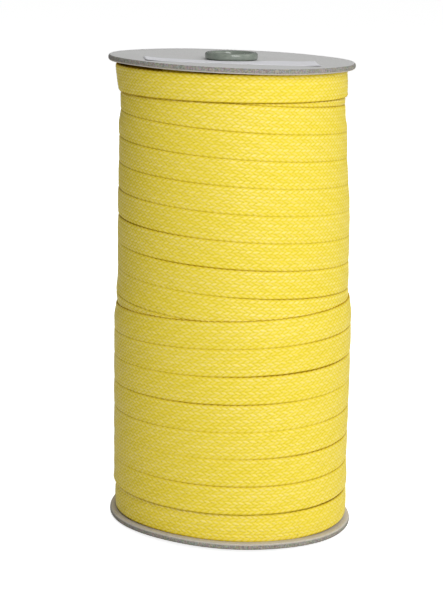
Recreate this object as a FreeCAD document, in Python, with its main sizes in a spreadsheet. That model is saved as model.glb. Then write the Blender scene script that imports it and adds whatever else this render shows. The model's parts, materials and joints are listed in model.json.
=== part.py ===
"""A spool of flat braided web. Two greyboard flanges are held on a plastic core tube by its rolled rims, a
cardboard sleeve keeps them apart, and the web is wound on the sleeve in helical layers. Its free end is
taped down at the back and can be peeled away. Millimetres, +Z up along the spool's axis, with the origin
where the axis meets the plane that the lower rim stands on. The front of the spool faces -Y."""

import FreeCAD
import Part
import math
import os
import Sketcher

DIMENSIONS = {
    "flange_diameter": 112.0,
    "flange_board": 2.5,
    "flange_edge_round": 0.5,
    "web_width": 12.0,
    "web_thickness": 1.5,
    "turn_pitch": 12.06,
    "pass_count": 17.0,
    "layer_gap": 0.05,
    "package_radius": 51.2,
    "bore_radius": 9.0,
    "tube_wall": 1.2,
    "rim_radius": 12.2,
    "rim_height": 3.0,
    "rim_land": 1.0,
    "fit_gap": 0.1,
    "sleeve_wall": 4.5,
    "label_length": 78.0,
    "label_depth": 21.0,
    "label_paper": 0.15,
    "label_distance": 23.1,
    "label_corner": 1.5,
    "label_turn": 6.0,
    "tape_film": 0.12,
    "start_tape_length": 24.0,
    "start_tape_width": 12.0,
    "end_tape_length": 14.0,
    "end_tape_width": 20.0,
    "end_tape_margin": 2.0,
    "outer_turns": 7.014,
    "free_end_turns": 0.1125,
    "butt_gap": 0.1,
}
FRONT_DEGREES = -90.0
BACK_DEGREES = 90.0
FULL_LAYER_DEGREES = -127.0
FULL_TURN = 360.0

doc = FreeCAD.newDocument("web_spool")
dims = doc.addObject("Spreadsheet::Sheet", "dims")
for row, (alias, value) in enumerate(DIMENSIONS.items(), start=1):
    dims.set(f"A{row}", alias)
    dims.set(f"B{row}", str(value))
    dims.setAlias(f"B{row}", alias)
doc.recompute()

# Heights and radii that several sub-parts share, as expressions on the sheet.
LOWER_FLANGE_BASE = "dims.rim_height"
WINDING_BASE = "dims.rim_height + dims.flange_board"
WINDING_HEIGHT = "dims.turn_pitch * dims.pass_count"
UPPER_FLANGE_BASE = f"{WINDING_BASE} + {WINDING_HEIGHT}"
UPPER_FLANGE_TOP = f"{UPPER_FLANGE_BASE} + dims.flange_board"
SPOOL_HEIGHT = f"{UPPER_FLANGE_TOP} + dims.rim_height"
TUBE_RADIUS = "dims.bore_radius + dims.tube_wall"
HOLE_RADIUS = f"{TUBE_RADIUS} + dims.fit_gap"
SLEEVE_RADIUS = f"{HOLE_RADIUS} + dims.sleeve_wall"
WINDING_HOLE_RADIUS = f"{SLEEVE_RADIUS} + dims.tape_film + 2 * dims.layer_gap"
FULL_LAYER_RADIUS = "dims.package_radius + dims.layer_gap"
OUTER_LAYER_RADIUS = f"{FULL_LAYER_RADIUS} + dims.web_thickness + dims.layer_gap"
PASS_GAP = "(dims.turn_pitch - dims.web_width) / 2"
OUTER_LAYER_BASE = f"{WINDING_BASE} + {PASS_GAP} + dims.turn_pitch / 2"
FREE_END_BASE = f"{OUTER_LAYER_BASE} + dims.outer_turns * dims.turn_pitch"
RIM_ROUND = "(dims.rim_radius - dims.bore_radius - dims.rim_land) / 2"


def size(alias):
    """A driving dimension as it stands in the sheet."""
    return float(dims.get(alias))


def new_body(name):
    body = doc.addObject("PartDesign::Body", name)
    body.Label = name
    return body


def new_sketch(body, name, plane):
    """A sketch on one of the body's own origin planes."""
    sketch = body.newObject("Sketcher::SketchObject", name)
    origin_plane = next(f for f in body.Origin.OriginFeatures if f.Role == plane)
    sketch.AttachmentSupport = (origin_plane, [""])
    sketch.MapMode = "FlatFace"
    return sketch


def bind(sketch, constraint, expression):
    """Adds a driving constraint and ties its value to the sheet."""
    index = sketch.addConstraint(constraint)
    sketch.setExpression(f"Constraints[{index}]", expression)


def place(body, height, degrees):
    """Lifts a body along the spool's axis and turns it about that axis."""
    body.Placement.Rotation = FreeCAD.Rotation(FreeCAD.Vector(0, 0, 1), degrees)
    body.setExpression("Placement.Base.z", height)


def point(x, y):
    return FreeCAD.Vector(x, y, 0)


def circle_arc(centre, radius, start, end):
    """An arc in a sketch, counterclockwise between two angles in degrees."""
    circle = Part.Circle(centre, FreeCAD.Vector(0, 0, 1), radius)
    return Part.ArcOfCircle(circle, math.radians(start), math.radians(end))


def pad(body, name, sketch, length):
    feature = body.newObject("PartDesign::Pad", name)
    feature.Profile = sketch
    feature.setExpression("Length", length)
    sketch.Visibility = False
    doc.recompute()
    return feature


def plain_ring(name, inner, outer, base, height):
    """A body with a ring section about the axis, standing at a height."""
    body = new_body(name)
    sketch = new_sketch(body, f"{name}_ring", "XY_Plane")
    for expression, start in ((outer, 20.0), (inner, 10.0)):
        index = sketch.addGeometry(Part.Circle(point(0, 0), FreeCAD.Vector(0, 0, 1), start), False)
        sketch.addConstraint(Sketcher.Constraint("Coincident", index, 3, -1, 1))
        bind(sketch, Sketcher.Constraint("Radius", index, start), expression)
    pad(body, f"{name}_wall", sketch, height)
    place(body, base, 0)
    return body


def flange(name, base):
    """A greyboard disc with a centre hole and slightly crushed outer edges."""
    body = plain_ring(name, HOLE_RADIUS, "dims.flange_diameter / 2", base, "dims.flange_board")
    disc = body.Tip
    outer_edges = [
        f"Edge{index}"
        for index, edge in enumerate(disc.Shape.Edges, start=1)
        if edge.Closed and edge.Curve.Radius > size("rim_radius")
    ]
    edge_round = body.newObject("PartDesign::Fillet", f"{name}_edge")
    edge_round.Base = (disc, outer_edges)
    edge_round.setExpression("Radius", "dims.flange_edge_round")
    doc.recompute()
    return body


def core_tube():
    """The through tube. Each end is rolled outwards into a bead that bears on a flange, and each bead has a
    narrow flat land on its crown, the lower one being what the spool stands on."""
    body = new_body("core_tube")
    sketch = new_sketch(body, "core_tube_section", "XZ_Plane")
    bore = size("bore_radius")
    wall = bore + size("tube_wall")
    rim = size("rim_radius")
    bead = size("rim_height")
    rounding = (rim - bore - size("rim_land")) / 2
    inside = bore + rounding
    outside = rim - rounding
    total = 2 * (bead + size("flange_board")) + size("turn_pitch") * size("pass_count")
    corners = [
        (bore, rounding),
        (bore, total - rounding),
        (inside, total),
        (outside, total),
        (rim, total - rounding),
        (rim, total - bead + rounding),
        (outside, total - bead),
        (wall, total - bead),
        (wall, bead),
        (outside, bead),
        (rim, bead - rounding),
        (rim, rounding),
        (outside, 0),
        (inside, 0),
    ]
    arcs = {
        1: (point(inside, total - rounding), 90, 180),
        3: (point(outside, total - rounding), 0, 90),
        5: (point(outside, total - bead + rounding), 270, 360),
        9: (point(outside, bead - rounding), 0, 90),
        11: (point(outside, rounding), 270, 360),
        13: (point(inside, rounding), 180, 270),
    }
    for index, start in enumerate(corners):
        if index in arcs:
            centre, first, last = arcs[index]
            sketch.addGeometry(circle_arc(centre, rounding, first, last), False)
        else:
            end = corners[(index + 1) % len(corners)]
            sketch.addGeometry(Part.LineSegment(point(*start), point(*end)), False)
    # The outline runs clockwise and arcs counterclockwise, so an arc's second point comes first along it.
    for index in range(len(corners)):
        following = (index + 1) % len(corners)
        leaving = 1 if index in arcs else 2
        arriving = 2 if following in arcs else 1
        kind = "Tangent" if index in arcs or following in arcs else "Coincident"
        sketch.addConstraint(Sketcher.Constraint(kind, index, leaving, following, arriving))
    bore_line, top_land, top_side, top_seat = 0, 2, 4, 6
    tube_line, low_seat, low_side, low_land = 7, 8, 10, 12
    for line in (bore_line, tube_line, top_side, low_side):
        sketch.addConstraint(Sketcher.Constraint("Vertical", line))
    for line in (top_land, top_seat, low_seat, low_land):
        sketch.addConstraint(Sketcher.Constraint("Horizontal", line))
    for arc in list(arcs)[1:]:
        sketch.addConstraint(Sketcher.Constraint("Equal", 1, arc))
    bind(sketch, Sketcher.Constraint("Radius", 1, rounding), RIM_ROUND)
    bind(sketch, Sketcher.Constraint("DistanceX", -1, 1, bore_line, 1, bore), "dims.bore_radius")
    bind(sketch, Sketcher.Constraint("DistanceX", -1, 1, tube_line, 1, wall), TUBE_RADIUS)
    bind(sketch, Sketcher.Constraint("DistanceX", -1, 1, top_side, 1, rim), "dims.rim_radius")
    bind(sketch, Sketcher.Constraint("DistanceX", -1, 1, low_side, 1, rim), "dims.rim_radius")
    bind(sketch, Sketcher.Constraint("DistanceY", -1, 1, low_seat, 1, bead), "dims.rim_height")
    bind(sketch, Sketcher.Constraint("DistanceY", -1, 1, tube_line, 1, total - bead), UPPER_FLANGE_TOP)
    bind(sketch, Sketcher.Constraint("DistanceY", -1, 1, top_land, 1, total), SPOOL_HEIGHT)
    sketch.addConstraint(Sketcher.Constraint("PointOnObject", low_land, 1, -1))
    turned = body.newObject("PartDesign::Revolution", "core_tube_turned")
    turned.Profile = sketch
    turned.ReferenceAxis = (sketch, ["V_Axis"])
    turned.Angle = FULL_TURN
    sketch.Visibility = False
    doc.recompute()
    return body


def web_section(body, name, inner_radius):
    """The web's cross-section, flat with fully rounded selvedges, standing at a radius."""
    sketch = new_sketch(body, name, "XZ_Plane")
    half = size("web_thickness") / 2
    width = size("web_width")
    middle = size("package_radius")
    high = width - half
    outline = [
        circle_arc(point(middle, half), half, 180, 360),
        Part.LineSegment(point(middle + half, half), point(middle + half, high)),
        circle_arc(point(middle, high), half, 0, 180),
        Part.LineSegment(point(middle - half, high), point(middle - half, half)),
    ]
    sketch.addGeometry(outline, False)
    lower_selvedge, outer_side, upper_selvedge, inner_side = range(4)
    for joined in (
        (lower_selvedge, 2, outer_side, 1),
        (outer_side, 2, upper_selvedge, 1),
        (upper_selvedge, 2, inner_side, 1),
        (inner_side, 2, lower_selvedge, 1),
    ):
        sketch.addConstraint(Sketcher.Constraint("Tangent", *joined))
    sketch.addConstraint(Sketcher.Constraint("Vertical", outer_side))
    sketch.addConstraint(Sketcher.Constraint("Equal", lower_selvedge, upper_selvedge))
    bind(sketch, Sketcher.Constraint("Radius", lower_selvedge, half), "dims.web_thickness / 2")
    bind(
        sketch,
        Sketcher.Constraint("DistanceX", -1, 1, lower_selvedge, 3, middle),
        f"{inner_radius} + dims.web_thickness / 2",
    )
    bind(
        sketch,
        Sketcher.Constraint("DistanceY", -1, 1, lower_selvedge, 3, half),
        "dims.web_thickness / 2",
    )
    bind(
        sketch,
        Sketcher.Constraint("DistanceY", lower_selvedge, 3, upper_selvedge, 3, high - half),
        "dims.web_width - dims.web_thickness",
    )
    return sketch


def level_turn(name, inner_radius, base):
    """One closed, level turn of web."""
    body = new_body(name)
    sketch = web_section(body, f"{name}_section", inner_radius)
    turn = body.newObject("PartDesign::Revolution", f"{name}_wound")
    turn.Profile = sketch
    turn.ReferenceAxis = (sketch, ["V_Axis"])
    turn.Angle = FULL_TURN
    sketch.Visibility = False
    place(body, base, 0)
    doc.recompute()
    return body


def web_helix(name, inner_radius, turns, left_handed, base, degrees):
    """A stretch of web wound as a helix that climbs from a height, starting at an angle."""
    body = new_body(name)
    sketch = web_section(body, f"{name}_section", inner_radius)
    doc.recompute()
    wound = body.newObject("PartDesign::AdditiveHelix", f"{name}_wound")
    wound.Profile = sketch
    wound.ReferenceAxis = (sketch, ["V_Axis"])
    wound.Mode = 0
    wound.setExpression("Pitch", "dims.turn_pitch")
    wound.setExpression("Height", f"{turns} * dims.turn_pitch")
    wound.LeftHanded = left_handed
    sketch.Visibility = False
    place(body, base, degrees)
    doc.recompute()
    return body


def taped_patch(name, inner_radius, length, width, base, degrees):
    """A patch of adhesive tape wrapped round the axis at a radius, centred on an angle."""
    body = new_body(name)
    sketch = new_sketch(body, f"{name}_section", "XZ_Plane")
    radius = size("bore_radius")
    film = size("tape_film")
    height = size("start_tape_width")
    corners = [(radius, 0), (radius + film, 0), (radius + film, height), (radius, height)]
    for start, end in zip(corners, corners[1:] + corners[:1]):
        sketch.addGeometry(Part.LineSegment(point(*start), point(*end)), False)
    low, outer, high, inner = range(4)
    for line, following in ((low, outer), (outer, high), (high, inner), (inner, low)):
        sketch.addConstraint(Sketcher.Constraint("Coincident", line, 2, following, 1))
    for line, kind in ((low, "Horizontal"), (outer, "Vertical"), (high, "Horizontal"), (inner, "Vertical")):
        sketch.addConstraint(Sketcher.Constraint(kind, line))
    sketch.addConstraint(Sketcher.Constraint("PointOnObject", low, 1, -1))
    bind(sketch, Sketcher.Constraint("DistanceX", -1, 1, low, 1, radius), inner_radius)
    bind(sketch, Sketcher.Constraint("DistanceX", low, 1, low, 2, film), "dims.tape_film")
    bind(sketch, Sketcher.Constraint("DistanceY", outer, 1, outer, 2, height), width)
    wrapped = body.newObject("PartDesign::Revolution", f"{name}_wrapped")
    wrapped.Profile = sketch
    wrapped.ReferenceAxis = (sketch, ["V_Axis"])
    wrapped.Midplane = True
    wrapped.setExpression("Angle", f"{length} / ({inner_radius}) * 180deg / pi")
    sketch.Visibility = False
    place(body, base, degrees)
    doc.recompute()
    return body


def flange_label():
    """A blank paper sticker with rounded corners, stuck to the upper flange in front of the core tube."""
    body = new_body("flange_label")
    sketch = new_sketch(body, "flange_label_outline", "XY_Plane")
    half_length = size("label_length") / 2
    half_depth = size("label_depth") / 2
    corner = size("label_corner")
    across = half_length - corner
    along = half_depth - corner
    outline = [
        Part.LineSegment(point(-across, -half_depth), point(across, -half_depth)),
        circle_arc(point(across, -along), corner, 270, 360),
        Part.LineSegment(point(half_length, -along), point(half_length, along)),
        circle_arc(point(across, along), corner, 0, 90),
        Part.LineSegment(point(across, half_depth), point(-across, half_depth)),
        circle_arc(point(-across, along), corner, 90, 180),
        Part.LineSegment(point(-half_length, along), point(-half_length, -along)),
        circle_arc(point(-across, -along), corner, 180, 270),
    ]
    sketch.addGeometry(outline, False)
    for index in range(len(outline)):
        following = (index + 1) % len(outline)
        sketch.addConstraint(Sketcher.Constraint("Tangent", index, 2, following, 1))
    front, right, back, left = 0, 2, 4, 6
    for line, kind in ((front, "Horizontal"), (right, "Vertical"), (back, "Horizontal"), (left, "Vertical")):
        sketch.addConstraint(Sketcher.Constraint(kind, line))
    for arc in (3, 5, 7):
        sketch.addConstraint(Sketcher.Constraint("Equal", 1, arc))
    bind(sketch, Sketcher.Constraint("Radius", 1, corner), "dims.label_corner")
    bind(sketch, Sketcher.Constraint("DistanceX", -1, 1, right, 1, half_length), "dims.label_length / 2")
    bind(sketch, Sketcher.Constraint("DistanceX", left, 1, -1, 1, half_length), "dims.label_length / 2")
    bind(sketch, Sketcher.Constraint("DistanceY", -1, 1, back, 1, half_depth), "dims.label_depth / 2")
    bind(sketch, Sketcher.Constraint("DistanceY", front, 1, -1, 1, half_depth), "dims.label_depth / 2")
    pad(body, "flange_label_paper", sketch, "dims.label_paper")
    place(body, UPPER_FLANGE_TOP, size("label_turn"))
    body.setExpression("Placement.Base.y", "-dims.label_distance")
    doc.recompute()
    return body


def winding():
    """The web. One strand in reality: the buried layers stand as one plain ring, and the layers that show are
    rings and helices of their own. The full layer rises from a level turn that lies on the lower flange to
    under a level turn that lies against the upper flange, and descends to the right across the front. The
    outer layer covers the lower half and climbs to the right. It starts and stops at the back, where the free
    end carries on from it as a separate piece that can lift away."""
    base = f"{WINDING_BASE} + {PASS_GAP}"
    inner_height = f"{WINDING_HEIGHT} - 2 * {PASS_GAP}"
    full_base = f"{base} + dims.turn_pitch"
    full_turns = "(dims.pass_count - 2)"
    top_base = f"{full_base} + {full_turns} * dims.turn_pitch"
    outer_turns = "dims.outer_turns"
    free_turns = "dims.free_end_turns"
    free_degrees = free_end_root_degrees()
    return [
        plain_ring("web_inner_layers", WINDING_HOLE_RADIUS, "dims.package_radius", base, inner_height),
        level_turn("web_bottom_turn", FULL_LAYER_RADIUS, base),
        web_helix("web_full_layer", FULL_LAYER_RADIUS, full_turns, True, full_base, FULL_LAYER_DEGREES),
        level_turn("web_top_turn", OUTER_LAYER_RADIUS, top_base),
        web_helix("web_outer_layer", OUTER_LAYER_RADIUS, outer_turns, False, OUTER_LAYER_BASE, BACK_DEGREES),
        web_helix("web_free_end", OUTER_LAYER_RADIUS, free_turns, False, FREE_END_BASE, free_degrees),
    ]


def free_end_root_degrees():
    """The angle at which the free end starts, just past the end face of the outer layer."""
    outer_layer_end = BACK_DEGREES + size("outer_turns") * FULL_TURN
    return outer_layer_end + math.degrees(size("butt_gap") / size("package_radius"))


def free_end_tape():
    """Holds the free end's tip to the turn of web below it."""
    half_free_end = size("free_end_turns") * FULL_TURN / 2
    return taped_patch(
        "free_end_tape",
        f"{OUTER_LAYER_RADIUS} + dims.web_thickness + dims.layer_gap",
        "dims.end_tape_length",
        "dims.end_tape_width",
        f"{FREE_END_BASE} + dims.web_width - dims.end_tape_margin - dims.end_tape_width",
        free_end_root_degrees() + half_free_end,
    )


def start_tape():
    """Holds the web's first turn to the sleeve."""
    return taped_patch(
        "start_tape",
        f"{SLEEVE_RADIUS} + dims.layer_gap",
        "dims.start_tape_length",
        "dims.start_tape_width",
        f"{WINDING_BASE} + {PASS_GAP}",
        FRONT_DEGREES,
    )


def check(sub_parts):
    """Stops before anything is written if a feature failed or a sub-part isn't a valid solid."""
    for thing in doc.Objects:
        if "Invalid" in thing.State or "Error" in thing.State:
            raise RuntimeError(f"{thing.Name} failed: {thing.State}")
        if thing.TypeId == "Sketcher::SketchObject" and not thing.FullyConstrained:
            raise RuntimeError(f"{thing.Name} has loose geometry")
    for body in sub_parts:
        if body.Shape.isNull() or not body.Shape.isValid() or not body.Shape.Solids:
            raise RuntimeError(f"{body.Label} isn't a valid solid")


sub_parts = [
    core_tube(),
    plain_ring("winding_sleeve", HOLE_RADIUS, SLEEVE_RADIUS, WINDING_BASE, WINDING_HEIGHT),
    flange("lower_flange", LOWER_FLANGE_BASE),
    flange("upper_flange", UPPER_FLANGE_BASE),
    flange_label(),
    start_tape(),
    *winding(),
    free_end_tape(),
]
doc.recompute()
check(sub_parts)
os.makedirs("parts", exist_ok=True)
for body in sub_parts:
    body.Shape.exportStep(f"parts/{body.Label}.step")
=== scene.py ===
"""The looks of a spool of flat braided web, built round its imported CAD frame. Lengths are in millimetres until
a mesh is made, angles in radians, +Z up along the spool's axis and the front facing -Y."""

import json
import math

import bpy
import numpy as np
from mathutils import Matrix, Vector


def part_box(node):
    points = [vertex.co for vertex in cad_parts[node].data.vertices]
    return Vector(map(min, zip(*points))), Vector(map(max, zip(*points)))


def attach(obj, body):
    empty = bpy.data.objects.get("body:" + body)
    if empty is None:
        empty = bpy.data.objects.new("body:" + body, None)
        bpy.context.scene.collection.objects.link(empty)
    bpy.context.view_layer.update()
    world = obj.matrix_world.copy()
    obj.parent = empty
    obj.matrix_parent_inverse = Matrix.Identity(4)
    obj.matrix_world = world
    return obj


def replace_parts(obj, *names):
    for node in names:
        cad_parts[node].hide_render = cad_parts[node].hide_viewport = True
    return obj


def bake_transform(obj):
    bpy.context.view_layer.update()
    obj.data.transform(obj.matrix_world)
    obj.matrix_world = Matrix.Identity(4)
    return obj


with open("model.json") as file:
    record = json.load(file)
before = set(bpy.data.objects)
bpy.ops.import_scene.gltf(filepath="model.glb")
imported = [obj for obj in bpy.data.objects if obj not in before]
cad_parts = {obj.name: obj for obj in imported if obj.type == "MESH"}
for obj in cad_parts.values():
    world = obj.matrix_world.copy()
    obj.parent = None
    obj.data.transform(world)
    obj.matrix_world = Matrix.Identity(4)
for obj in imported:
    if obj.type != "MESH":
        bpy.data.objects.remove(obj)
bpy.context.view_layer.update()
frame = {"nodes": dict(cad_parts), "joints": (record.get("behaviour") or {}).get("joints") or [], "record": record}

MM = 0.001
TURN = 2 * math.pi
FRONT = -math.pi / 2
BACK = math.pi / 2


def box_mm(node):
    """Lowest and highest corner of a CAD node, in millimetres."""
    low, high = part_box(node)
    return np.array(low) / MM, np.array(high) / MM


# ---------------------------------------------------------------- sizes read from the frame

upper_low, upper_high = box_mm("upper_flange")
lower_low, lower_high = box_mm("lower_flange")
tube_low, tube_high = box_mm("core_tube")
turn_low, turn_high = box_mm("web_top_turn")
buried_low, buried_high = box_mm("web_inner_layers")
label_low, label_high = box_mm("flange_label")
patch_low, patch_high = box_mm("free_end_tape")

FLANGE_RADIUS = upper_high[0]
WINDING_BASE = lower_high[2]
WINDING_TOP = upper_low[2]
WINDING_HEIGHT = WINDING_TOP - WINDING_BASE
SLEEVE_RADIUS = box_mm("winding_sleeve")[1][0]
BURIED_RADIUS = buried_high[0]
FULL_LAYER_RADIUS = box_mm("web_full_layer")[1][0]
LAYER_GAP = 0.05
CAD_WEB_WIDTH = turn_high[2] - turn_low[2]
WEB_THICKNESS = turn_high[0] - FULL_LAYER_RADIUS - LAYER_GAP
PASSES = round(WINDING_HEIGHT / CAD_WEB_WIDTH)
PITCH = WINDING_HEIGHT / PASSES
STRAND_BASE = buried_low[2]
BORE_RADIUS = next(m for m in frame["record"]["mounts"] if m["name"] == "spindle_bore")["dims"]["r_mm"]
TUBE_RADIUS = BORE_RADIUS + 1.2
HOLE_RADIUS = TUBE_RADIUS + 0.1

peel = next(joint for joint in frame["joints"] if joint["name"] == "free_end_peel")
HINGE = np.array(peel["pos_m"]) / MM
OUTER_TURNS = (HINGE[2] - CAD_WEB_WIDTH / 2 - STRAND_BASE) / PITCH

# ---------------------------------------------------------------- the web

WEB_WIDTH = 11.88
RIB = 1.4
STITCH = 2.9
YARN_ROUND = 0.26
YARN_WAVE = 0.22
SELVEDGE_ROUND = 0.5
BACK_ROUND = 0.3
CROWN = 0.12
TURN_LEAN = 0.12
FINE_ACROSS = 0.235
FINE_ALONG = 0.36
COARSE_ACROSS = 2.4
COARSE_ALONG = 3.0
FULL_LAYER_START = math.radians(-127)
FULL_LAYER_TURNS = PASSES - 1
FULL_LAYER_BACK = (FULL_LAYER_START - BACK) / TURN % 1
FIRST_COVERED_TURN = 1.02
FIRST_FINE_TURN = 6 + FULL_LAYER_BACK
TURNS_PER_PIECE = 1.0
SHORTEST_PIECE = 0.3
STRAND_EMERGES = -0.9
STRAND_PASSES_BACK = 0.5
TOP_TURN_DROP = 0.8
MEAN_RADIUS = BURIED_RADIUS + WEB_THICKNESS
VALLEY_DEPTH = 0.2
WEB_VALLEY = WEB_THICKNESS - VALLEY_DEPTH
LAYER_STEP = WEB_THICKNESS + 0.1
FOOT_SAG = 1.9
FREE_TURNS = 0.1125
BEND_REACH = 7.0
SEALED_LENGTH = 1.0

# Swellings of the winding: how far each stands out, the height of its middle, and its spread.
LEFT_SHOULDER = (0.8, 104, 4)
WAIST = (-0.4, 170, 13)
RIGHT_WAIST_FILL = (0.4, 145, 14)
RIGHT_FOOT = (0.5, 21, 6)
OFF_CENTRE = (0.95, 112, 72)

# ---------------------------------------------------------------- the core, flanges, label and tape

BEAD_SQUARENESS = 0.72
BOARD_EDGE_ROUND = 0.55
RIM_DENT = 0.45
UPPER_WARP = {"lean": 1.1, "sag": 0.0, "grow": 0.72, "shift": -0.3}
LOWER_WARP = {"lean": 0.0, "sag": 2.5, "grow": -1.09, "shift": 0.35}
LABEL_LENGTH = 78.0
LABEL_DEPTH = 21.0
LABEL_CORNER = 1.5
LABEL_TURN = math.radians(6)
LABEL_PAPER = 0.18
LABEL_LIFT = 0.35
TAPE_LENGTH = 14.0
TAPE_FILM = 0.14

# ---------------------------------------------------------------- the stage and the camera

FLOOR_REACH = 30.0
FLOOR_GLOW = 0.82
AMBIENT = 0.2
LENS = 105.35
CAMERA_DISTANCE = 14.83 * FLANGE_RADIUS
CAMERA_HEIGHT = 4.881 * FLANGE_RADIUS + lower_low[2]
CAMERA_YAW = 0.1678
CAMERA_TILT = 0.0114
CAMERA_ROLL = 0.0067
LENS_SHIFT = {"shift_x": 0.4776, "shift_y": -0.599}


def smooth_step(value, start, end):
    """0 before start, 1 after end, and an easy curve between."""
    share = np.clip((value - start) / (end - start), 0, 1)
    return share * share * (3 - 2 * share)


def swelling(height, out, middle, spread):
    """How far a smooth swelling stands out at a height."""
    return out * np.exp(-(((height - middle) / spread) ** 2))


def buried_radius(height, angle):
    """Radius of the buried layers: a barrel that is fullest above its middle, dished under the upper flange,
    and a little off centre to the right."""
    middle = WINDING_BASE + 0.62 * WINDING_HEIGHT
    below = np.clip((middle - height) / (middle - WINDING_BASE), 0, 1)
    above = np.clip((height - middle) / (WINDING_TOP - middle), 0, 1)
    left = 0.5 - 0.5 * np.cos(angle)
    right = 1 - left
    barrel = BURIED_RADIUS - 0.05 - 1.9 * below**1.6 - 0.85 * above**1.5
    flare = (0.7 + 0.5 * left) * (1 - smooth_step(height, 10, 21))
    at_left = left * swelling(height, *LEFT_SHOULDER)
    at_right = right * (swelling(height, *RIGHT_WAIST_FILL) + swelling(height, *RIGHT_FOOT))
    swollen = barrel + flare + at_left + at_right + swelling(height, *WAIST)
    dish = 0.85 * smooth_step(height, 181.5, 188.5) + 0.8 * smooth_step(height, 196.4, 198.6)
    off_centre = swelling(height, *OFF_CENTRE) + 0.15
    return swollen - dish + off_centre * np.cos(angle)


def full_layer_face(height, angle, turns=0.0):
    """Radius that the full layer's inner face lies at."""
    return buried_radius(height, angle) + LAYER_GAP


def outer_layer_face(height, angle, turns=1.0):
    """Radius that the outer strand's inner face lies at. The strand comes out from under itself, makes a level
    turn on the buried layers, and steps up onto the full layer where it meets its own start."""
    layer = smooth_step(turns, 0.05, 0.3) + smooth_step(turns, -0.95, -0.7) - 1
    above_edge = height - STRAND_BASE - PITCH * turns
    tuck = 0.8 * smooth_step(above_edge, 4, 12) * smooth_step(turns, 6.3, 6.6)
    return full_layer_face(height, angle) + LAYER_STEP * layer - tuck


def top_turn_face(height, angle, turns=0.0):
    """Radius that the top turn's inner face lies at. It stands proudest at the left, where it leans outwards."""
    left = 0.5 - 0.5 * np.cos(angle)
    return full_layer_face(height, angle) + LAYER_STEP + 0.3 + left * 0.15 * (height - turn_low[2])


def wander(turns, seed):
    """A slow, repeatable wobble along a strand, about -1 to 1."""
    return (
        0.5 * np.sin(TURN * turns * 0.83 + 1.3 * seed)
        + 0.3 * np.sin(TURN * turns * 1.71 + 2.9 * seed)
        + 0.2 * np.sin(TURN * turns * 2.63 + 0.7 * seed)
    )


def full_layer_path(turns):
    """Angle and lower-edge height of the full layer, which climbs clockwise as seen from above."""
    angle = FULL_LAYER_START - TURN * turns
    height = STRAND_BASE + PITCH * turns
    upper = smooth_step(height, 120, 190)
    lean_right = -0.3 - 0.9 * upper
    height = height + lean_right * np.cos(angle) * smooth_step(height, 10, 40) + 0.28 * wander(turns, 1)
    return angle, height


def outer_layer_path(turns):
    """Angle and lower-edge height of the outer layer, which climbs anticlockwise as seen from above. Its level
    turn rests on the lower flange, which sags at the left."""
    angle = FRONT + TURN * turns
    height = STRAND_BASE + PITCH * np.maximum(turns, 0) * smooth_step(turns, 0.08, 0.5)
    rise = 0.75 * smooth_step(turns, 3, 7) - 0.8 * (1 - smooth_step(turns, 1, 4))
    settled = smooth_step(turns, 0.3, 0.8)
    calm_end = 1 - smooth_step(turns, OUTER_TURNS - 0.4, OUTER_TURNS - 0.1)
    height = height + settled * calm_end * (rise * np.cos(angle) + 0.35 * wander(turns, 2))
    height = height - FOOT_SAG * np.clip(-np.cos(angle), 0, 1) ** 4 * (turns < 0)
    return angle, height


def top_turn_path(turns):
    """Angle and lower-edge height of the level turn under the upper flange."""
    angle = BACK + TURN * turns
    height = turn_low[2] - TOP_TURN_DROP + 0.25 * np.cos(angle + 2.6)
    return angle, height


def braid_relief(along, across):
    """Height of a two-over-two braid: yarns cross at an angle, each passing over two and under two, so that
    their floats line up in lengthwise ribs that slant alternately."""
    shaken = along + 0.24 * np.sin(0.37 * along + 1.3) + 0.16 * np.sin(0.83 * along + 0.9 * across)
    shaken = shaken + 0.1 * np.sin(2.1 * along - 1.7 * across)
    first = shaken / STITCH + across / RIB
    second = shaken / STITCH - across / RIB
    first_yarn = np.floor(first)
    second_yarn = np.floor(second)
    first_float = np.cos(math.pi / 2 * (first - second_yarn - 1))
    second_float = np.cos(math.pi / 2 * (first_yarn - second - 2))
    first_round = np.sqrt(np.clip(1 - (2 * (second - second_yarn) - 1) ** 2, 0, 1))
    second_round = np.sqrt(np.clip(1 - (2 * (first - first_yarn) - 1) ** 2, 0, 1))
    over = YARN_WAVE * first_float + YARN_ROUND * first_round
    under = YARN_WAVE * second_float + YARN_ROUND * second_round
    slow = 0.04 * np.sin(0.051 * along + 0.3 * across)
    quick = 0.06 * np.sin(0.41 * along - 0.9 * across)
    return np.maximum(over, under) * (0.93 + slow + quick)


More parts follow.
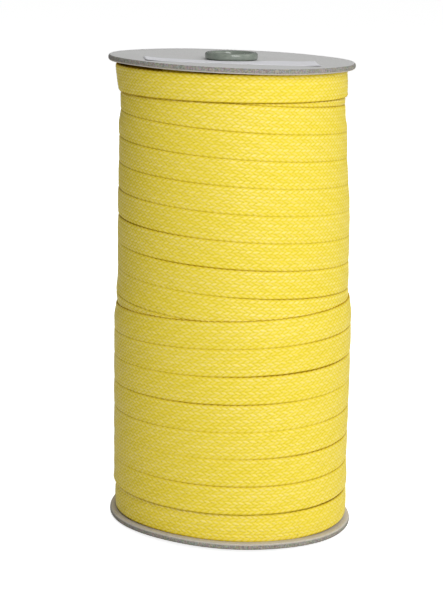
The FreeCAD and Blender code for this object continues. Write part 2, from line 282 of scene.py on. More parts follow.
def web_section(step):
    """The closed outline of the web, anticlockwise from the lower selvedge: outward offset, height above the
    lower edge, outward normal, position round the braid, and how much of the braid's relief a point carries."""
    flat = WEB_WIDTH - 2 * SELVEDGE_ROUND
    wall = WEB_VALLEY - SELVEDGE_ROUND - BACK_ROUND
    arc_steps = max(3, round(math.pi / 2 * SELVEDGE_ROUND / step * 1.4))
    face_steps = round(flat / step)
    quarter = math.pi / 2 * SELVEDGE_ROUND

    def round_edge(turn, centre_up, across):
        """A point of a rounded selvedge, at a turn from straight outwards."""
        out, up = math.cos(turn), math.sin(turn)
        centre_out = WEB_VALLEY - SELVEDGE_ROUND
        place = (centre_out + SELVEDGE_ROUND * out, centre_up + SELVEDGE_ROUND * up)
        return (*place, out, up, across + SELVEDGE_ROUND * turn, 1.0)

    rows = [(BACK_ROUND, 0.0, 0.0, -1.0, -wall - quarter, 0.6)]
    for k in range(arc_steps):
        rows.append(round_edge(math.pi / 2 * (k / arc_steps - 1), SELVEDGE_ROUND, 0.0))
    for k in range(face_steps + 1):
        share = k / face_steps
        crown = CROWN * (1 - (2 * share - 1) ** 2)
        rows.append((WEB_VALLEY + crown, SELVEDGE_ROUND + share * flat, 1.0, 0.0, share * flat, 1.0))
    for k in range(1, arc_steps + 1):
        rows.append(round_edge(math.pi / 2 * k / arc_steps, WEB_WIDTH - SELVEDGE_ROUND, flat))
    rows.append((BACK_ROUND, WEB_WIDTH, 0.0, 1.0, flat + wall + quarter, 0.6))
    for share in (0.98, 0.75, 0.5, 0.25, 0.02):
        rows.append((0.0, WEB_WIDTH * share, -1.0, 0.0, flat * share, 0.0))
    return np.array(rows).T


def strand_grid(path, face, first_turn, last_turn, fine, lean_seed, stretch=1.0):
    """Points of a stretch of web, as rows of sections along it, with where each point lies on the braid. stretch
    is how much longer than the rest its stitches are."""
    step_along = FINE_ALONG if fine else COARSE_ALONG
    step_across = FINE_ACROSS if fine else COARSE_ACROSS
    count = max(2, round(TURN * MEAN_RADIUS * (last_turn - first_turn) / step_along))
    turns = np.linspace(first_turn, last_turn, count + 1)[:, None]
    out, up, normal_out, normal_up, across, carries = web_section(step_across)
    angle, low = path(turns)
    along = TURN * MEAN_RADIUS * turns / stretch + 0 * out
    relief = braid_relief(along, across + 0 * turns) * carries if fine else 0 * along
    lean = TURN_LEAN * wander(turns, lean_seed) * (up / WEB_WIDTH - 0.5) * 2
    height = low + up + relief * normal_up
    radius = face(low + up, angle, turns) + out + lean + relief * normal_out
    points = np.stack([radius * np.cos(angle), radius * np.sin(angle), height], axis=2)
    peak = YARN_WAVE + YARN_ROUND
    strand = np.stack([along, across + 0 * turns, np.clip(relief / peak, 0, 1)], axis=2)
    return points, strand


# ---------------------------------------------------------------- meshes


def grid_faces(rows, columns, wrap_rows, wrap_columns):
    """Quads over a grid of points, closed round in either direction if asked."""
    row = np.arange(rows if wrap_rows else rows - 1)[:, None]
    column = np.arange(columns if wrap_columns else columns - 1)[None, :]
    next_row = (row + 1) % rows
    next_column = (column + 1) % columns
    corners = (
        row * columns + column,
        next_row * columns + column,
        next_row * columns + next_column,
        row * columns + next_column,
    )
    return np.stack(np.broadcast_arrays(*corners), axis=2).reshape(-1, 4)


def cap_faces(loop, centre, flip):
    """A fan of triangles from a centre point to a closed loop."""
    following = np.roll(loop, -1)
    pairs = (following, loop) if flip else (loop, following)
    return np.stack([pairs[0], pairs[1], np.full(len(loop), centre)], axis=1)


def new_piece(name, points, faces, material, body, attributes=None, flat_faces=0):
    """A smooth-shaded mesh object in metres that rides on a body. Its faces are turned outwards, and the last
    flat_faces of them are shaded flat."""
    vertices = np.asarray(points, float).reshape(-1, 3) * MM
    other_halves = [group[:, [0, 2, 3]] for group in faces if group.shape[1] == 4]
    triangles = np.concatenate([group[:, :3] for group in faces] + other_halves)
    a, b, c = (vertices[triangles[:, k]] for k in range(3))
    volume = np.einsum("ij,ij->i", a, np.cross(b, c)).sum()
    listed = [face[::-1] if volume < 0 else face for group in faces for face in group.tolist()]
    mesh = bpy.data.meshes.new(name)
    mesh.from_pydata(vertices.tolist(), [], listed)
    flat = np.arange(len(mesh.polygons)) >= len(mesh.polygons) - flat_faces
    mesh.polygons.foreach_set("use_smooth", ~flat)
    for label, values in (attributes or {}).items():
        attribute = mesh.attributes.new(label, "FLOAT_VECTOR", "POINT")
        attribute.data.foreach_set("vector", np.asarray(values, np.float32).reshape(-1))
    mesh.update()
    mesh.materials.append(material)
    piece = bpy.data.objects.new(name, mesh)
    bpy.context.scene.collection.objects.link(piece)
    if body is not None:
        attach(piece, body)
    return piece


def web_piece(name, points, strand, material, body, closed=False):
    """A stretch of web as a closed solid: a tube of sections with its two ends capped, or a closed ring."""
    rows, columns = points.shape[:2]
    faces = [grid_faces(rows, columns, closed, True)]
    flat_points = points.reshape(-1, 3)
    flat_strand = strand.reshape(-1, 3)
    if not closed:
        centres = np.array([points[0].mean(axis=0), points[-1].mean(axis=0)])
        middles = np.array([strand[0].mean(axis=0), strand[-1].mean(axis=0)])
        count = rows * columns
        first_loop = np.arange(columns)
        last_loop = first_loop + (rows - 1) * columns
        faces.append(cap_faces(first_loop, count, True))
        faces.append(cap_faces(last_loop, count + 1, False))
        flat_points = np.concatenate([flat_points, centres])
        flat_strand = np.concatenate([flat_strand, middles])
    flat = sum(len(group) for group in faces[1:])
    return new_piece(name, flat_points, faces, material, body, {"strand": flat_strand}, flat)


def sheet_piece(name, one_face, other_face, material, body, slot):
    """A thin closed sheet between two faces, each a grid of points."""
    columns, rows = one_face.shape[:2]
    count = columns * rows
    sheet = grid_faces(columns, rows, False, False)
    index = np.arange(count).reshape(columns, rows)
    rim = np.concatenate([index[:, 0], index[-1, 1:], index[-2::-1, -1], index[0, -2:0:-1]])
    following = np.roll(rim, -1)
    side = np.stack([rim, following, following + count, rim + count], axis=1)
    points = np.concatenate([one_face.reshape(-1, 3), other_face.reshape(-1, 3)])
    return new_piece(name, points, [sheet[:, ::-1], sheet + count, side], material, body)

def revolve(profile, segments, shape=None):
    """Points of an outline (radius, height) turned about the axis. shape may move them, as rows of (radius,
    height) by angle."""
    angle = np.linspace(0, TURN, segments, endpoint=False)[:, None]
    radius = np.array([p[0] for p in profile])[None, :] + 0 * angle
    height = np.array([p[1] for p in profile])[None, :] + 0 * angle
    if shape is not None:
        radius, height = shape(radius, height, angle)
    return np.stack([radius * np.cos(angle), radius * np.sin(angle), height], axis=2)


# ---------------------------------------------------------------- materials


class Look:
    """A node material, with short calls for the nodes it uses."""

    def __init__(self, name, roughness, specular=0.5):
        self.material = bpy.data.materials.new(name)
        self.material.use_nodes = True
        self.tree = self.material.node_tree
        self.shader = self.tree.nodes["Principled BSDF"]
        self.set(Roughness=roughness)
        self.shader.inputs["Specular IOR Level"].default_value = specular

    def set(self, **inputs):
        for name, value in inputs.items():
            self.feed(self.shader.inputs[name.replace("_", " ")], value)

    def feed(self, socket, value):
        if isinstance(value, bpy.types.NodeSocket):
            self.tree.links.new(value, socket)
        else:
            socket.default_value = value

    def node(self, kind, inputs=(), **settings):
        made = self.tree.nodes.new(kind)
        for name, value in settings.items():
            setattr(made, name, value)
        for key, value in dict(inputs).items():
            self.feed(made.inputs[key], value)
        return made

    def math(self, operation, first, second=0.0, third=0.0):
        inputs = {0: first, 1: second, 2: third}
        return self.node("ShaderNodeMath", inputs, operation=operation).outputs[0]

    def place(self):
        """Object coordinates in millimetres."""
        at = self.node("ShaderNodeTexCoord").outputs["Object"]
        return self.node("ShaderNodeVectorMath", {0: at, "Scale": 1 / MM}, operation="SCALE").outputs[0]

    def stretched(self, at, factors):
        return self.node("ShaderNodeVectorMath", {0: at, 1: factors}, operation="MULTIPLY").outputs[0]

    def vector(self, x, y, z):
        return self.node("ShaderNodeCombineXYZ", {0: x, 1: y, 2: z}).outputs[0]

    def noise(self, at, scale, detail=2.0, rough=0.5):
        inputs = {"Vector": at, "Scale": scale, "Detail": detail, "Roughness": rough}
        return self.node("ShaderNodeTexNoise", inputs).outputs["Fac"]

    def between(self, value, low, high, to_low=0.0, to_high=1.0):
        inputs = {"Value": value, "From Min": low, "From Max": high, "To Min": to_low, "To Max": to_high}
        return self.node("ShaderNodeMapRange", inputs).outputs["Result"]

    def mix(self, share, first, second, blend="MIX"):
        made = self.node("ShaderNodeMix", data_type="RGBA", blend_type=blend)
        self.feed(made.inputs["Factor"], share)
        for socket, value in ((made.inputs[6], first), (made.inputs[7], second)):
            self.feed(socket, (*value, 1.0) if isinstance(value, tuple) else value)
        return made.outputs[2]

    def bump(self, height, depth, strength=1.0):
        """Bumps whose full height range is depth, in millimetres."""
        inputs = {"Height": height, "Distance": depth * MM, "Strength": strength}
        self.set(Normal=self.node("ShaderNodeBump", inputs).outputs["Normal"])


def web_look(name, sealed_from=None):
    """Yellow braided multifilament yarn: filaments run along each float. Painted shade: deep yellow between the
    yarns, dark olive-brown in the gaps at the selvedges, and the ribs of one slant a little darker; painted
    highlight: pale crowns on the floats.
    From sealed_from, a distance along the strand, it is melted into a hard amber end."""
    look = Look(name, 0.5, 0.45)
    strand = look.node("ShaderNodeAttribute", attribute_name="strand").outputs["Vector"]
    parts = look.node("ShaderNodeSeparateXYZ", {0: strand}).outputs
    along, across, relief = parts[0], parts[1], parts[2]
    slant = math.atan2(RIB, STITCH)
    rib_phase = look.math("MULTIPLY_ADD", across, math.pi / RIB, -math.pi / 4)
    first_on_top = look.math("GREATER_THAN", look.math("COSINE", rib_phase), 0.0)
    side = look.math("MULTIPLY_ADD", first_on_top, -2.0, 1.0)
    turned = look.math("MULTIPLY", look.math("MULTIPLY", across, math.cos(slant)), side)
    athwart = look.math("ADD", look.math("MULTIPLY", along, math.sin(slant)), turned)
    streak_at = look.vector(look.math("MULTIPLY", athwart, 7.0), look.math("MULTIPLY", along, 0.35), side)
    filaments = look.noise(streak_at, 1.0, 2.0, 0.6)
    yarn_at = look.vector(look.math("MULTIPLY", athwart, 0.8), look.math("MULTIPLY", along, 0.3), side)
    yarn_tone = look.noise(yarn_at, 1.0, 1.0)
    dye = look.noise(look.place(), 0.035, 2.0)
    # Painted shade and highlight: deep yellow where the relief is low, between the yarns, and pale where the float
    # crowns stand highest.
    colour = look.mix(look.between(relief, 0.1, 0.6), (0.56, 0.42, 0.001), (0.94, 0.755, 0.055))
    colour = look.mix(look.between(relief, 0.6, 0.95, 0.0, 0.9), colour, (1.0, 0.84, 0.27))
    # Painted shade: the ribs of one slant are darker, as under a light from the right.
    colour = look.mix(look.math("MULTIPLY", first_on_top, 0.38), colour, (0.86, 0.67, 0.01))
    colour = look.mix(look.between(filaments, 0.35, 0.75, 0.0, 0.3), colour, (0.97, 0.79, 0.18))
    colour = look.mix(look.between(yarn_tone, 0.35, 0.7, 0.0, 0.3), colour, (0.84, 0.655, 0.03))
    colour = look.mix(look.between(dye, 0.35, 0.7, 0.0, 0.15), colour, (0.88, 0.69, 0.05))
    # Painted shade: towards the rounded selvedges, in the gaps between rows, the colour turns dark olive-brown and
    # the shine fades.
    flat = WEB_WIDTH - 2 * SELVEDGE_ROUND
    from_middle = look.math("ABSOLUTE", look.math("SUBTRACT", across, flat / 2))
    selvedge = look.between(from_middle, flat / 2 + 0.15, flat / 2 + 0.6)
    colour = look.mix(selvedge, colour, (0.45, 0.26, 0.001))
    shine = look.between(relief, 0.45, 0.95, 0.0, 0.5)
    look.set(Specular_IOR_Level=look.math("MULTIPLY", shine, look.math("SUBTRACT", 1.0, selvedge)))
    if sealed_from is not None:
        uneven = look.math("MULTIPLY_ADD", filaments, 0.8, along)
        melted = look.between(uneven, sealed_from, sealed_from + 0.6)
        colour = look.mix(melted, colour, (0.36, 0.19, 0.02))
    look.set(Base_Color=colour, Roughness=look.between(filaments, 0.2, 0.8, 0.32, 0.46))
    look.bump(filaments, 0.05, 0.9)
    return look.material


def board_look():
    """Recycled greyboard: a plain fibrous outer face and a darker speckled cut edge. The inner face and the inner
    rim of the edge are painted warm tan, a painted reflection of the yellow web."""
    look = Look("greyboard", 0.82, 0.25)
    board = look.node("ShaderNodeAttribute", attribute_name="board").outputs["Vector"]
    parts = look.node("ShaderNodeSeparateXYZ", {0: board}).outputs
    edge, painted_bounce_mask = parts[0], parts[1]
    at = look.place()
    fibre = look.noise(at, 1.1, 4.0, 0.65)
    cloud = look.noise(at, 0.06, 3.0)
    grain = look.noise(look.stretched(at, (0.5, 2.6, 1.0)), 0.9, 3.0)
    face = look.mix(look.between(fibre, 0.3, 0.7), (0.54, 0.54, 0.535), (0.63, 0.63, 0.625))
    face = look.mix(look.between(cloud, 0.35, 0.65, 0.0, 0.3), face, (0.54, 0.535, 0.52))
    face = look.mix(look.between(grain, 0.58, 0.74, 0.0, 0.5), face, (0.43, 0.415, 0.395))
    flecks = look.noise(at, 2.9, 1.0)
    face = look.mix(look.between(flecks, 0.66, 0.74, 0.0, 0.55), face, (0.34, 0.33, 0.32))
    face = look.mix(look.between(flecks, 0.33, 0.26, 0.0, 0.5), face, (0.74, 0.73, 0.70))
    cells = look.node("ShaderNodeTexVoronoi", {"Vector": at, "Scale": 1.7, "Randomness": 1.0})
    tint = cells.outputs["Color"]
    speckle = look.between(look.noise(at, 1.5, 4.0, 0.7), 0.34, 0.66)
    core = look.mix(speckle, (0.165, 0.158, 0.14), (0.43, 0.41, 0.365))
    core = look.mix(0.16, core, look.mix(1.0, core, tint, "OVERLAY"))
    # Painted reflection: warm tan where the board faces the winding, standing in for the yellow light it catches
    # from the web.
    painted_bounce_tan = look.mix(look.between(fibre, 0.3, 0.7), (0.54, 0.50, 0.43), (0.67, 0.625, 0.55))
    look.set(Base_Color=look.mix(painted_bounce_mask, look.mix(edge, face, core), painted_bounce_tan))
    look.set(Roughness=look.between(fibre, 0.2, 0.8, 0.74, 0.9))
    look.bump(look.math("ADD", fibre, look.math("MULTIPLY", edge, look.noise(at, 2.2, 3.0))), 0.12, 0.8)
    return look.material


def plastic_look():
    """Glossy grey-green moulded plastic with faint swirls and fine handling scratches."""
    look = Look("core_plastic", 0.22, 0.5)
    at = look.place()
    swirl = look.noise(at, 0.22, 3.0, 0.6)
    scuff = look.noise(look.stretched(at, (1.0, 1.0, 6.0)), 1.8, 4.0, 0.7)
    colour = look.mix(look.between(swirl, 0.35, 0.65), (0.20, 0.235, 0.20), (0.26, 0.29, 0.245))
    look.set(Base_Color=colour, Roughness=look.between(scuff, 0.35, 0.75, 0.16, 0.36))
    look.set(Coat_Weight=0.35, Coat_Roughness=0.12)
    look.bump(scuff, 0.03, 0.35)
    return look.material


def paper_look():
    """Smooth coated label paper, a little cool, with faint fibres."""
    look = Look("label_paper", 0.5, 0.4)
    at = look.place()
    fibre = look.noise(at, 2.4, 4.0, 0.6)
    cloud = look.noise(at, 0.09, 2.0)
    colour = look.mix(look.between(fibre, 0.3, 0.7), (0.70, 0.70, 0.735), (0.77, 0.77, 0.80))
    colour = look.mix(look.between(cloud, 0.4, 0.7, 0.0, 0.2), colour, (0.68, 0.675, 0.69))
    look.set(Base_Color=colour, Roughness=look.between(fibre, 0.2, 0.8, 0.42, 0.58))
    look.bump(fibre, 0.02, 0.5)
    return look.material


def tape_look():
    """Creped pale adhesive tape with cross wrinkles and a satin face."""
    look = Look("tape_film", 0.45, 0.45)
    at = look.place()
    crepe = look.noise(look.stretched(at, (1.0, 1.0, 0.3)), 2.0, 3.0, 0.6)
    cloud = look.noise(at, 0.2, 2.0)
    colour = look.mix(look.between(crepe, 0.3, 0.7), (0.70, 0.63, 0.43), (0.80, 0.74, 0.54))
    colour = look.mix(look.between(cloud, 0.4, 0.7, 0.0, 0.25), colour, (0.74, 0.65, 0.36))
    look.set(Base_Color=colour, Roughness=look.between(crepe, 0.3, 0.7, 0.36, 0.55))
    look.bump(crepe, 0.08, 0.8)
    return look.material


def cardboard_look():
    """Spiral-wound brown cardboard, its plies showing as slanted bands."""
    look = Look("sleeve_cardboard", 0.85, 0.2)
    at = look.place()
    parts = look.node("ShaderNodeSeparateXYZ", {0: at}).outputs
    turn = look.math("ARCTAN2", parts[1], parts[0])
    ply_pitch = 40.0
    climb = look.math("ADD", look.math("DIVIDE", parts[2], ply_pitch), look.math("DIVIDE", turn, TURN))
    seam = look.math("LESS_THAN", look.math("FRACT", climb), 0.02)
    fibre = look.noise(at, 1.2, 4.0, 0.6)
    colour = look.mix(look.between(fibre, 0.3, 0.7), (0.36, 0.27, 0.17), (0.47, 0.37, 0.25))
    look.set(Base_Color=look.mix(seam, colour, (0.2, 0.14, 0.08)))
    look.bump(fibre, 0.08, 0.6)
    return look.material


# ---------------------------------------------------------------- pieces


def strand_pieces(name, path, face, first_turn, last_turn, fine, seed, material):
    """One strand as a chain of closed pieces that meet end to end. Returns them."""
    ends = list(np.arange(first_turn, last_turn - SHORTEST_PIECE, TURNS_PER_PIECE)) + [last_turn]
    count = len(ends) - 1
    made = []
    for index in range(count):
        points, strand = strand_grid(path, face, ends[index], ends[index + 1], fine, seed)
        label = f"{name}_{index + 1}" if count > 1 else name
        made.append(web_piece(label, points, strand, material, "spool"))
    return made


def buried_layers(material):
    """The layers under the visible web, as a ring with the barrel shape of the winding."""
    levels = np.linspace(WINDING_BASE + 0.1, WINDING_TOP - 0.1, 180)
    inner = SLEEVE_RADIUS + 0.4
    profile = [(0.0, z) for z in levels] + [(inner, levels[-1]), (inner, levels[0])]

    def shape(radius, height, angle):
        row_groove = 0.25 * np.abs(np.cos(math.pi * (height - WINDING_BASE) / PITCH + angle / 2)) ** 8
        surface = buried_radius(height, angle) - 0.3 - row_groove
        return np.where(radius > 0, radius, surface), height

    points = revolve(profile, 240, shape)
    rows, columns = points.shape[:2]
    strand = np.zeros(points.shape)
    strand[..., 0] = TURN * MEAN_RADIUS * np.arange(rows)[:, None] / rows
    # An across of -1 gives the whole buried ring the web's painted gap shade colour.
    strand[..., 1] = -1
    faces = [grid_faces(rows, columns, True, True)]
    piece = new_piece("web_buried_layers", points, faces, material, "spool", {"strand": strand})
    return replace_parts(piece, "web_inner_layers")


def level_top_turn(material):
    """The level turn under the upper flange: a closed ring whose braid meets itself."""
    stitches = TURN * MEAN_RADIUS / STITCH
    stretch = stitches / round(stitches)
    points, strand = strand_grid(top_turn_path, top_turn_face, 0.0, 1.0, True, 3, stretch)
    piece = web_piece("web_top_turn_wound", points[:-1], strand[:-1], material, "spool", closed=True)
    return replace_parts(piece, "web_top_turn")


def flange_rise(x, y, warp):
    """How far a flange has lifted off the winding, unevenly round it and most at the left. Its warp says how far
    it leans (up at the left, down at the right), and how far its left rim sags away from the winding."""
    radius = np.hypot(x, y)
    angle = np.arctan2(y, x)
    wave = 0.22 + 0.12 * np.sin(2 * angle + 0.8) + 0.08 * np.sin(3 * angle + 2.1) + 0.04 * np.sin(7 * angle)
    sag = warp["sag"] * np.cos(angle) ** 4 * (0.6 - 0.4 * np.cos(angle))
    return (wave - warp["lean"] * np.cos(angle) + sag) * smooth_step(radius, 16, FLANGE_RADIUS)


def bead_dent(radius):
    """How far the core tube's bead presses in the outer face of a flange."""
    return RIM_DENT * (1 - smooth_step(radius, 13, 24))

def flange_piece(name, node, low, high, side, warp, material):
    """A greyboard disc, lifted a little off the winding at its rim and dented by the core tube's bead, with a
    rough crushed edge. side is 1 for the upper flange and -1 for the lower one."""
    flat_radius = FLANGE_RADIUS - BOARD_EDGE_ROUND
    inner_radii = np.linspace(HOLE_RADIUS, FLANGE_RADIUS - 3, 24)
    face_radii = np.concatenate([inner_radii, np.linspace(FLANGE_RADIUS - 2.5, flat_radius, 8)])
    profile = [(r, low) for r in face_radii]
    # Each point's marks: whether it lies on the cut edge, and how much painted reflection of the yellow web it
    # carries, full on the inner face and fading across the inner rim of the edge.
    edge_and_bounce_marks = [(0.0, 0.5 + 0.5 * side)] * len(face_radii)
    for share in np.linspace(0, 1, 15):
        bulge = BOARD_EDGE_ROUND * (1 - abs(2 * share - 1) ** 3.2)
        profile.append((flat_radius + bulge, low + 0.02 + share * (high - low - 0.04)))
        inwards = share if side == 1 else 1 - share
        edge_and_bounce_marks.append((1.0, 1.0 - smooth_step(inwards, 0.1, 0.3)))
    profile += [(r, high) for r in face_radii[::-1]]
    edge_and_bounce_marks += [(0.0, 0.5 - 0.5 * side)] * len(face_radii)

    def shape(radius, height, angle):
        rim = smooth_step(radius, FLANGE_RADIUS - 1.6, FLANGE_RADIUS - 0.4)
        rough = (
            0.5 * np.sin(37 * angle + 11 * height)
            + 0.5 * np.sin(83 * angle - 7 * height + 1.7)
            + 0.6 * np.sin(191 * angle + 5 * height + 0.4)
            + 0.5 * np.sin(307 * angle - 13 * height)
        )
        ragged = 0.05 * rough * rim
        rise = flange_rise(radius * np.cos(angle), radius * np.sin(angle), warp)
        cut = (warp["grow"] + warp["shift"] * np.cos(angle)) * smooth_step(radius, 20, FLANGE_RADIUS)
        outwards = (height - low) / (high - low) if side == 1 else (high - height) / (high - low)
        lifted = side * (rise - outwards * bead_dent(radius))
        return radius + cut - 0.1 * rim + ragged, height + lifted + 0.02 * rough * rim

    points = revolve(profile, 900, shape)
    rows, columns = points.shape[:2]
    marks = np.zeros(points.shape)
    marks[..., :2] = np.array(edge_and_bounce_marks)[None]
    faces = [grid_faces(rows, columns, True, True)]
    piece = new_piece(name, points, faces, material, "spool", {"board": marks})
    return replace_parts(piece, node)


def core_piece(material):
    """The core tube with each end rolled outwards into a round bead."""
    rim = tube_high[0]
    base, top = tube_low[2], tube_high[2]
    bead = lower_low[2] - base + RIM_DENT

    def bead_outline(seat, crown):
        """From the tube's wall at the flange, round the outside of the bead, to the bore."""
        middle = (BORE_RADIUS + rim) / 2
        half_width = (rim - BORE_RADIUS) / 2
        centre = (seat + crown) / 2
        half_height = abs(crown - seat) / 2
        sign = 1 if crown > seat else -1
        outline = []
        for turn in np.linspace(-0.42 * math.pi, math.pi, 35):
            out = math.copysign(abs(math.cos(turn)) ** BEAD_SQUARENESS, math.cos(turn))
            up = math.copysign(abs(math.sin(turn)) ** BEAD_SQUARENESS, math.sin(turn))
            outline.append((middle + half_width * out, centre + sign * half_height * up))
        return outline

    upper = bead_outline(top - bead, top)
    lower = bead_outline(base + bead, base)
    profile = [(TUBE_RADIUS, base + bead)] + lower
    for height in (base + bead * 0.9, (base + top) / 2, top - bead * 0.9):
        profile.append((BORE_RADIUS, height))
    profile += upper[::-1] + [(TUBE_RADIUS, top - bead)]
    points = revolve(profile, 160)
    rows, columns = points.shape[:2]
    faces = [grid_faces(rows, columns, True, True)]
    piece = new_piece("core_tube_rolled", points, faces, material, "spool")
    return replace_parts(piece, "core_tube")


def label_piece(material):
    """The blank sticker on the upper flange, following the board, its corners just lifting."""
    half_length = LABEL_LENGTH / 2
    half_depth = LABEL_DEPTH / 2
    centre_y = (label_low[1] + label_high[1]) / 2
    columns, rows = 90, 28
    x = np.linspace(-half_length, half_length, columns)[:, None] + np.zeros((1, rows))
    y = np.linspace(-half_depth, half_depth, rows)[None, :] + np.zeros((columns, 1))
    reach_x = np.clip(np.abs(x) - (half_length - LABEL_CORNER), 0, LABEL_CORNER)
    reach_y = np.clip(np.abs(y) - (half_depth - LABEL_CORNER), 0, LABEL_CORNER)
    over = np.hypot(reach_x, reach_y)
    pull = np.where(over > LABEL_CORNER, LABEL_CORNER / np.maximum(over, 1e-6), 1.0)
    x = np.sign(x) * (np.abs(x) - reach_x + reach_x * pull)
    y = np.sign(y) * (np.abs(y) - reach_y + reach_y * pull)
    near_end = smooth_step(np.abs(x), half_length - 9, half_length)
    near_side = smooth_step(np.abs(y), half_depth - 8, half_depth)
    world_x = x * math.cos(LABEL_TURN) - y * math.sin(LABEL_TURN)
    world_y = centre_y + x * math.sin(LABEL_TURN) + y * math.cos(LABEL_TURN)
    board = upper_high[2] + flange_rise(world_x, world_y, UPPER_WARP) - bead_dent(np.hypot(world_x, world_y))
    lower = board + 0.02 + LABEL_LIFT * near_end * near_side
    top = np.stack([world_x, world_y, lower + LABEL_PAPER], axis=2)
    bottom = np.stack([world_x, world_y, lower], axis=2)
    piece = sheet_piece("flange_label_sheet", top, bottom, material, "spool", "label_paper")
    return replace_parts(piece, "flange_label")

def tape_piece(material):
    """Tape over the free end and the turn below it, its cut ends toothed, riding on the free end."""
    middle = math.atan2(patch_low[1] + patch_high[1], patch_low[0] + patch_high[0])
    width = patch_high[2] - patch_low[2]
    half_length = TAPE_LENGTH / 2
    columns, rows = 56, 60
    across = np.linspace(0, 1, rows)[None, :] + np.zeros((columns, 1))
    along = np.linspace(-1, 1, columns)[:, None] + np.zeros((1, rows))
    tooth = 0.5 * np.abs(((across * width) % 2.0) - 1.0)
    reach = along * (half_length - tooth)
    height = patch_low[2] + width * across
    angle = middle + reach / MEAN_RADIUS
    fold = 0.05 * np.sin(height * 2.1 + 0.6) * np.sin(reach * 0.9)
    crest = WEB_VALLEY + CROWN + YARN_ROUND + YARN_WAVE
    surface = outer_layer_face(height, angle, OUTER_TURNS) + crest + 0.02 + fold
    faces = []
    for radius in (surface, surface + TAPE_FILM):
        faces.append(np.stack([radius * np.cos(angle), radius * np.sin(angle), height], axis=2))
    piece = sheet_piece("free_end_tape_strip", *faces, material, "free_end", "tape_film")
    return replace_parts(piece, "free_end_tape")

def free_end_pieces(material):
    """The last stretch of web: a stretch across the hinge that stays in place, then the loose end that lifts away
    with the free end.
    """
    bend_start = OUTER_TURNS - BEND_REACH / (TURN * MEAN_RADIUS)
    bend_end = OUTER_TURNS + BEND_REACH / (TURN * MEAN_RADIUS)
    tip = OUTER_TURNS + FREE_TURNS
    points, strand = strand_grid(outer_layer_path, outer_layer_face, bend_start, bend_end, True, 2)
    bend = web_piece("web_free_end_bend", points, strand, material, None)
    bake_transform(bend)
    points, strand = strand_grid(outer_layer_path, outer_layer_face, bend_end, tip, True, 2)
    end_look = web_look("braided_yarn_end", TURN * MEAN_RADIUS * tip - SEALED_LENGTH)
    loose = web_piece("web_free_end_strip", points, strand, end_look, "free_end")
    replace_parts(loose, "web_free_end")
    return bend_start


def winding_pieces(material):
    """All of the web, from the buried layers outwards. Turns that other turns cover are plain and coarse."""
    full = (full_layer_path, full_layer_face)
    outer = (outer_layer_path, outer_layer_face)
    buried_layers(material)
    covered = strand_pieces(
        "web_full_layer_covered", *full, FIRST_COVERED_TURN, FIRST_FINE_TURN, False, 1, material
    )
    strand_pieces("web_full_layer_turns", *full, FIRST_FINE_TURN, FULL_LAYER_TURNS, True, 1, material)
    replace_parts(covered[0], "web_full_layer")
    level_top_turn(material)
    level = strand_pieces("web_bottom_turn_wound", *outer, STRAND_EMERGES, STRAND_PASSES_BACK, True, 2, material)
    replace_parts(level[0], "web_bottom_turn")
    bend_start = free_end_pieces(material)
    climbing = strand_pieces("web_outer_layer_turns", *outer, STRAND_PASSES_BACK, bend_start, True, 2, material)
    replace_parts(climbing[0], "web_outer_layer")

def paint_node(node, material):
    """Gives a CAD node a material, whatever slots it came with."""
    mesh = frame["nodes"][node].data
    mesh.materials.clear()
    mesh.materials.append(material)


# ---------------------------------------------------------------- stage, light and camera


def floor():
    """A pale floor that looks as white to the camera as the surround."""
    mesh = bpy.data.meshes.new("floor")
    corners = [(x * FLOOR_REACH, y * FLOOR_REACH, 0) for x, y in ((-1, -1), (1, -1), (1, 1), (-1, 1))]
    mesh.from_pydata(corners, [], [(0, 1, 2, 3)])
    look = Look("pale_floor", 0.9, 0.1)
    look.set(Base_Color=(0.85, 0.85, 0.85, 1.0), Emission_Color=(1.0, 1.0, 1.0, 1.0))
    seen = look.node("ShaderNodeLightPath").outputs["Is Camera Ray"]
    look.set(Emission_Strength=look.math("MULTIPLY", seen, FLOOR_GLOW))
    mesh.materials.append(look.material)
    plane = bpy.data.objects.new("floor", mesh)
    bpy.context.scene.collection.objects.link(plane)


def softbox(name, toward, distance, size, power, glossy=True):
    """A square area light that faces the middle of the spool from a direction. glossy says whether it is seen
    in reflections."""
    light = bpy.data.lights.new(name, "AREA")
    light.size = size
    light.energy = power
    lamp = bpy.data.objects.new(name, light)
    lamp.visible_glossy = glossy
    middle = Vector((0, 0, (WINDING_BASE + WINDING_TOP) / 2 * MM))
    away = Vector(toward).normalized()
    lamp.location = middle + away * distance
    lamp.rotation_euler = away.to_track_quat("Z", "Y").to_euler()
    bpy.context.scene.collection.objects.link(lamp)


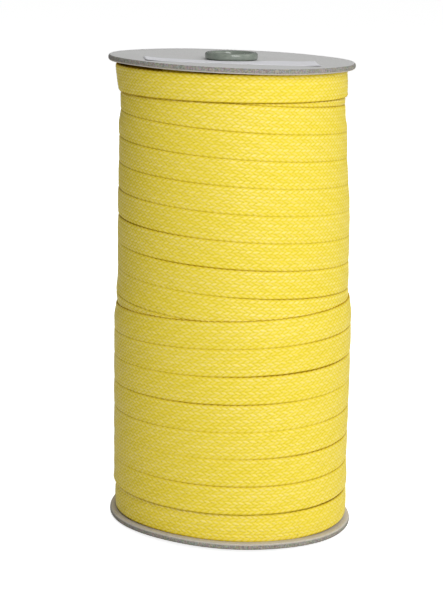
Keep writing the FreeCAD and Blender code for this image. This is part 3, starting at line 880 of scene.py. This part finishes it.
def surroundings():
    """An even pale surround: white to the camera, dimmer as a light."""
    world = bpy.data.worlds.new("surround")
    world.use_nodes = True
    bpy.context.scene.world = world
    tree = world.node_tree
    background = tree.nodes["Background"]
    path = tree.nodes.new("ShaderNodeLightPath")
    level = tree.nodes.new("ShaderNodeMapRange")
    level.inputs["To Min"].default_value = AMBIENT
    level.inputs["To Max"].default_value = 1.0
    tree.links.new(path.outputs["Is Camera Ray"], level.inputs["Value"])
    tree.links.new(level.outputs["Result"], background.inputs["Strength"])
    background.inputs["Color"].default_value = (1.0, 1.0, 1.0, 1.0)


def camera():
    """An almost level camera with a shifted lens, as for a product picture: the spool stands off the lens axis.
    The shift applies only where the camera is placed here, so that any other view is centred."""
    lens = bpy.data.cameras.new("camera")
    lens.lens = LENS
    lens.clip_end = 100.0
    viewer = bpy.data.objects.new("camera", lens)
    distance = CAMERA_DISTANCE * MM
    upright = Matrix.Rotation(math.pi / 2 - CAMERA_TILT, 4, "X")
    turned = Matrix.Rotation(CAMERA_YAW, 4, "Z") @ upright @ Matrix.Rotation(CAMERA_ROLL, 4, "Z")
    viewer.matrix_world = Matrix.Translation((0, -distance, CAMERA_HEIGHT * MM)) @ turned
    bpy.context.scene.collection.objects.link(viewer)
    for axis, amount in LENS_SHIFT.items():
        driver = lens.driver_add(axis).driver
        place = driver.variables.new()
        place.name = "place"
        place.targets[0].id = viewer
        place.targets[0].data_path = "location.y"
        driver.expression = f"{amount} if abs(place + {distance:.6f}) < 0.001 else 0"
    bpy.context.scene.camera = viewer


yarn = web_look("braided_yarn")
board = board_look()
plastic = plastic_look()
winding_pieces(yarn)
flange_piece("upper_flange_board", "upper_flange", upper_low[2], upper_high[2], 1, UPPER_WARP, board)
flange_piece("lower_flange_board", "lower_flange", lower_low[2], lower_high[2], -1, LOWER_WARP, board)
core_piece(plastic)
label_piece(paper_look())
film = tape_look()
tape_piece(film)
paint_node("start_tape", film)
paint_node("winding_sleeve", cardboard_look())

floor()
surroundings()
softbox("key_light", (0.36, -1.0, 0.6), 1.7, 1.0, 18.8)
softbox("side_light", (1.0, -0.2, 0.5), 1.7, 0.9, 4.0)
softbox("top_light", (0.1, 0.2, 1.0), 1.6, 1.0, 4.0, False)
softbox("back_light", (0.15, 1.0, 0.5), 1.7, 1.0, 12.0, False)
bpy.context.scene.view_settings.view_transform = "Standard"
camera()
